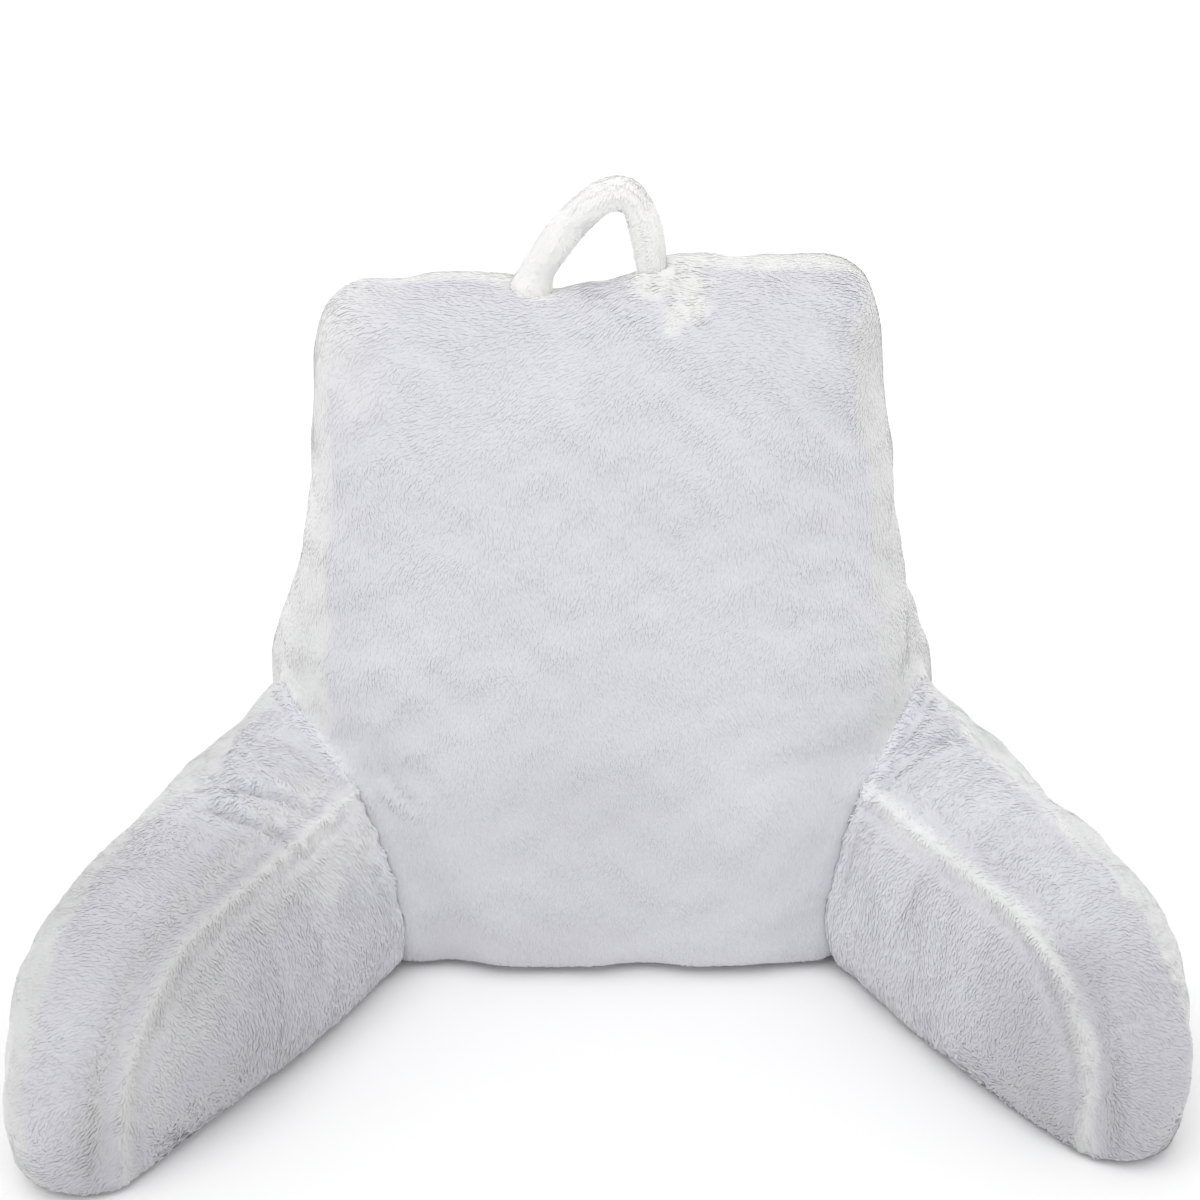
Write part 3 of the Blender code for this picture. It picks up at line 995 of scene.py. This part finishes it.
def backFields(stuffed):
    points, normals = meshArrays(stuffed["piece"].data)
    x, y, z = points.T
    high = smoothStep(z, 0.36, 0.50)[:, None]
    down, sideways = np.array([0.0, 0.0, -1.0]), np.array([-0.85, -0.2, -0.45])
    comb = down * (1 - high) + sideways * high + 0.35 * driftOf(points, 0.10, 61)
    byHandle = 1 - smoothStep(gapTo([solidTree("handle")], points), 0.002, 0.013)
    turnedAway = smoothStep(normals[:, 1], -0.15, 0.15)  # where it curves out of sight from the front, which gets painted light
    tousled = np.zeros(len(points))
    for place, reach in backPile["tousledSpots"]:
        gap = np.linalg.norm(points - np.array(place), axis=1) + 0.006 * wander(points, 0.022, 64)
        tousled = np.maximum(tousled, 1 - smoothStep(gap, 0.70 * reach, reach))
    ragged = 0.10 * wander(points, 0.05, 65)
    onSide = smoothStep(np.abs(normals[:, 0]) + ragged, backPile["rim"], backPile["rim"] + 0.22)
    rear = y + 0.004 * wander(points, 0.06, 66) + 0.016 * smoothStep(x, 0.06, 0.12)
    onTop = smoothStep(rear, 0.200, 0.222) * smoothStep(normals[:, 2], 0.0, 0.4)
    corner = smoothStep(-x + 0.006 * wander(points, 0.05, 69), 0.150, 0.205) * smoothStep(z, 0.400, 0.500)
    onTop = np.maximum(onTop, 0.55 * corner)
    calm = np.clip(onSide + onTop + 1 - smoothStep(z, 0.10, 0.34), 0, 1)  # flatter, smoother pile
    under = smoothStep(-normals[:, 2], 0.6, 0.9)
    low = 1 - smoothStep(z, 0.04, 0.30)
    # painted shadow on the lower-left lobe, by the floor
    lobeShadow = (1 - smoothStep(z, 0.004, 0.035)) * (1 - smoothStep(x, -0.16, -0.06))
    toRight = smoothStep(x, 0.05, 0.18)
    # painted shade lower down, on the lower-left lobe, on the sides and in the creases; painted light
    # higher up, along the top, round the handle's roots and where the cloth turns away; and a random drift
    # of tone
    toneAndPaintedLight = 1.0 + backToneAndPaintedLight["low"] * low + backToneAndPaintedLight["high"] * high[:, 0] + backToneAndPaintedLight["lobeShadow"] * lobeShadow
    toneAndPaintedLight += backToneAndPaintedLight["drift"] * wander(points, 0.09, 67) + backToneAndPaintedLight["crease"] * stuffed["creased"]
    toneAndPaintedLight += (backToneAndPaintedLight["side"] + backToneAndPaintedLight["rightSide"] * toRight) * onSide
    toneAndPaintedLight += backToneAndPaintedLight["top"] * onTop + backToneAndPaintedLight["byHandle"] * byHandle + backToneAndPaintedLight["turnedAway"] * turnedAway
    # painted light and painted shade in soft spots on the front
    for middle, reach, paler in backPile["paintedLightSpots"]:
        gap = np.linalg.norm(points[:, [0, 2]] - np.array(middle), axis=1)
        toneAndPaintedLight += paler * np.exp(-(gap / reach) ** 2) * smoothStep(-normals[:, 1], 0.2, 0.5)
    return {
        "surface": normals,
        "comb": comb,
        "lift": (backPile["lift"] * (1 - 0.45 * calm) + 0.01 * tousled) * (1 - 0.85 * under),
        # the pale side and top rims are partly a neutral cloth colour and partly painted rim light
        "pale": np.clip(0.9 * onSide + 1.2 * onTop + tousled + byHandle, 0, 1),
        "cream": tousled * np.clip(0.08 + 0.08 * wander(points, 0.014, 68), 0, 1),
        "toneAndPaintedLight": toneAndPaintedLight + joinPaintedLight(stuffed, points),
        "tousle": -0.2 * tousled - 0.4 * calm,
        "long": 1.0 - 0.25 * tousled - 0.25 * under - 0.1 * calm,
        "open": smoothStep(gapTo(stuffed["trees"], points), 0.0015, 0.004),
    }


armPaintedLight = {  # how much darker or paler each part of each arm's pile shows: painted shade and painted light
    "left": {"root": 0.0, "middle": -0.16, "tip": -0.13, "panelTip": -0.10, "byWelt": -0.09,
             "outer": -0.05, "welt": 0.02, "crest": 0.0},
    "right": {"root": 0.05, "middle": -0.03, "tip": -0.22, "panelTip": -0.05, "byWelt": 0.0,
              "outer": 0.0, "welt": 0.07, "crest": 0.10},
}

armPale = {  # how far each part's colour goes from lavender to neutral
    "left": {"welt": 0.45, "outer": 0.75, "panel": 0.70, "crest": 0.0},
    "right": {"welt": 0.80, "outer": 0.75, "panel": 0.12, "crest": 1.0},
}


def armFields(stuffed, side, seed):
    points, normals = meshArrays(stuffed["piece"].data)
    name = "left" if side < 0 else "right"
    innerSeam = stuffed["seams"]["inner"]
    innerGap, nearest = distanceTo(innerSeam, points)
    away = points - innerSeam[nearest]
    away -= normals * np.sum(away * normals, axis=1, keepdims=True)
    away /= np.linalg.norm(away, axis=1, keepdims=True) + 1e-6
    comb = 0.9 * away + np.array([0.0, -0.35, -0.55]) + 0.45 * driftOf(points, 0.07, seed)
    edge = sampleLine(paleEdges[name])
    edgeGap, edgeNearest = distanceTo(edge, points)
    beyond = (points - edge[edgeNearest]) @ np.array([side, 0.30, -0.10])
    ragged = np.copysign(edgeGap, beyond) + 0.003 * wander(points, 0.04, seed + 8)
    outer = smoothStep(ragged, -0.003, 0.010)
    welt = 1 - smoothStep(innerGap + 0.0012 * wander(points, 0.03, seed + 9), 0.0045, 0.0095)
    crest = np.exp(-(edgeGap / 0.0035) ** 2) * smoothStep(points[:, 1], -0.12, -0.08)
    onInner = smoothStep(-normals[:, 0] * side, 0.2, 0.7)
    panel = onInner * (1 - smoothStep(innerGap + 0.012 * wander(points, 0.06, seed + 7), 0.030, 0.062))
    panel = panel * smoothStep(points[:, 2], 0.02, 0.08)
    under = smoothStep(-normals[:, 2], 0.6, 0.9)
    calm = np.clip(outer + welt, 0, 1)
    shades, paleness = armPaintedLight[name], armPale[name]
    along = points[:, 1]
    toRoot, toTip = smoothStep(along, -0.09, 0.0), 1 - smoothStep(along, -0.21, -0.12)
    # painted shade and painted light by part of each arm
    toneAndPaintedLight = 1.0 + shades["root"] * toRoot + shades["tip"] * toTip
    toneAndPaintedLight += shades["middle"] * (1 - toRoot) * (1 - toTip)
    toneAndPaintedLight += shades["panelTip"] * onInner * (1 - smoothStep(along, -0.19, -0.08))
    toneAndPaintedLight += shades["byWelt"] * (1 - onInner) * (1 - outer) * (1 - smoothStep(innerGap, 0.012, 0.045))
    toneAndPaintedLight += shades["outer"] * outer + shades["welt"] * welt + shades["crest"] * crest
    # a random drift of tone, painted shade in the creases, and painted shade darker towards the floor
    toneAndPaintedLight += 0.02 * wander(points, 0.06, seed + 6) - 0.45 * stuffed["creased"]
    toneAndPaintedLight -= 0.05 * (1 - smoothStep(points[:, 2], 0.0, 0.08))
    shares = {"welt": welt, "outer": outer, "panel": panel, "crest": crest}
    return {
        "surface": normals,
        "comb": comb,
        "lift": (armPile["lift"] + 0.07 * onInner) * (1 - 0.55 * calm) * (1 - 0.85 * under),
        "pale": np.clip(sum(paleness[part] * share for part, share in shares.items()), 0, 1),
        "cream": np.zeros(len(points)),
        "toneAndPaintedLight": toneAndPaintedLight + joinPaintedLight(stuffed, points),
        "tousle": 0.2 + 0.2 * onInner - 0.6 * calm,
        "long": (1.0 - 0.25 * under - 0.10 * calm) * (1 - 0.45 * stuffed["creased"]),
        "open": smoothStep(gapTo(stuffed["trees"], points), 0.0005, 0.002) * (1 - 0.9 * stuffed["creased"]),
    }


def handleFields(stuffed):
    points, normals = meshArrays(stuffed["piece"].data)
    count = len(points)
    return {
        "surface": normals,
        "comb": np.array([-0.5, 0.0, -0.8]) + 0.5 * driftOf(points, 0.04, 81),
        "lift": np.full(count, handlePile["lift"]),
        "pale": np.ones(count),
        "cream": np.full(count, 0.85),
        "toneAndPaintedLight": np.full(count, 1.0),
        "tousle": np.zeros(count),
        "long": np.ones(count),
        "open": smoothStep(gapTo(stuffed["trees"], points), 0.0005, 0.004),
    }


def withCover(fields, share):
    # the same fields, with tufts only where the share says
    chosen = {name: field for name, field in fields.items() if name != "open"}
    chosen["cover"] = fields["open"] * share
    return chosen


# the cloth under the pile gets the same colours, painted light and painted shade as its tufts
def colourCover(stuffed, fields):
    for name in ("pale", "cream", "toneAndPaintedLight"):
        setField(stuffed["piece"].data, name, fields[name])


# Build

placeCamera(viewpoint)
lightStudio(studio)
layFloor(studio)
print("studio ready")

back = stuffCover(backCover, ["arm_left", "arm_right"])
armLeft = stuffCover(armLeftCover, ["back_cushion"])
armRight = stuffCover(armRightCover, ["back_cushion"])
handle = stuffHandle(handleCover)

plushPile = pileTree()
tuftLook = pileLook("plush_tufts", plushLook)
clothLook = coverLook("plush_backing", plushLook)

fields = backFields(back)
forward = smoothStep(-fields["surface"][:, 1], 0.35, 0.36)
rearward = smoothStep(fields["surface"][:, 1], 0.55, 0.56)
pieces = [
    (growPile("back_pile_front", back["piece"], withCover(fields, forward), backPile, tuftLook), "plush"),
    (growPile("back_pile_edges", back["piece"], withCover(fields, (1 - forward) * (1 - rearward)),
              dict(backPile, spacing=0.0023, width=0.0028, seed=6), tuftLook), "plush"),
    (growPile("back_pile_rear", back["piece"], withCover(fields, rearward),
              dict(backPile, spacing=0.0025, width=0.0030, seed=7), tuftLook), "plush"),
]
colourCover(back, fields)
arms = ((armLeft, -1, 71, "arm_left_pile"), (armRight, 1, 76, "arm_right_pile"))
for stuffed, side, seed, name in arms:
    fields = armFields(stuffed, side, seed)
    colourCover(stuffed, fields)
    grown = growPile(name, stuffed["piece"], withCover(fields, 1.0), dict(armPile, seed=seed), tuftLook)
    pieces.append((grown, "plush"))
fields = handleFields(handle)
colourCover(handle, fields)
grown = growPile("handle_pile", handle["piece"], withCover(fields, 1.0), handlePile, tuftLook)
pieces.append((grown, "plush_pale"))

covers = [
    (back, backCover, "plush", 0.7),
    (armLeft, armLeftCover, "plush", 0.65),
    (armRight, armRightCover, "plush", 0.65),
    (handle, handleCover, "plush_pale", 0.5),
]
for stuffed, values, slotName, fill in covers:
    piece = stuffed["piece"]
    piece.data.materials.clear()
    piece.data.materials.append(clothLook)
    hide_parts(values["node"])
    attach(piece, "root")
for piece, slotName in pieces:
    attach(piece, "root")

total = sum(len(face.vertices) - 2 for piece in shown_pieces() for face in piece.data.polygons)
print("triangles in all:", total)
